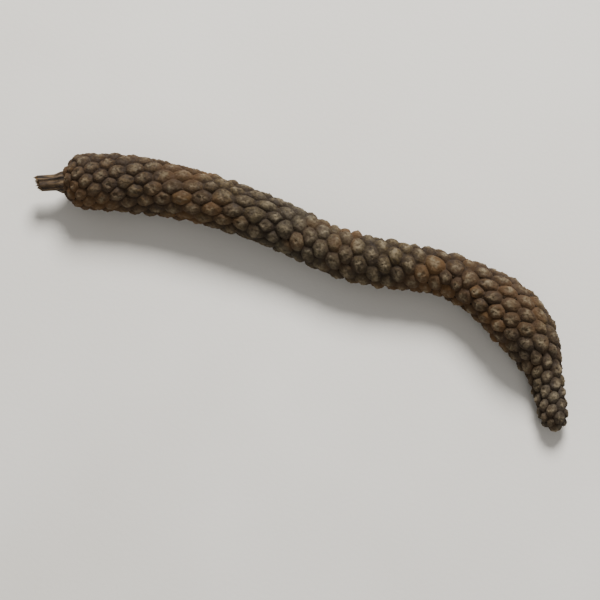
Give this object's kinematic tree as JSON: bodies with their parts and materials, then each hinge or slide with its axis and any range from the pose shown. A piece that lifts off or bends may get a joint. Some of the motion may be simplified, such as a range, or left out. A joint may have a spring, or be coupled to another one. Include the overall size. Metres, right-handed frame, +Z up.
{
  "type": "dried long pepper",
  "caption": "Whole dried long pepper: a slender bent fruiting spike covered in bead-like fruitlets, with a short broken stalk, lying on its side.",
  "frame": {"origin": "on the surface that it lies on, below the middle of its box", "axes": "+X along its length from the stalk towards the tip, +Y towards the outer side of its bend, +Z up"},
  "size_m": [0.0454, 0.0102, 0.0044],
  "materials": {
    "dried_pepper": "matte"
  },
  "bodies": {
    "root": {"long_pepper": "dried_pepper"}
  },
  "joints": []
}
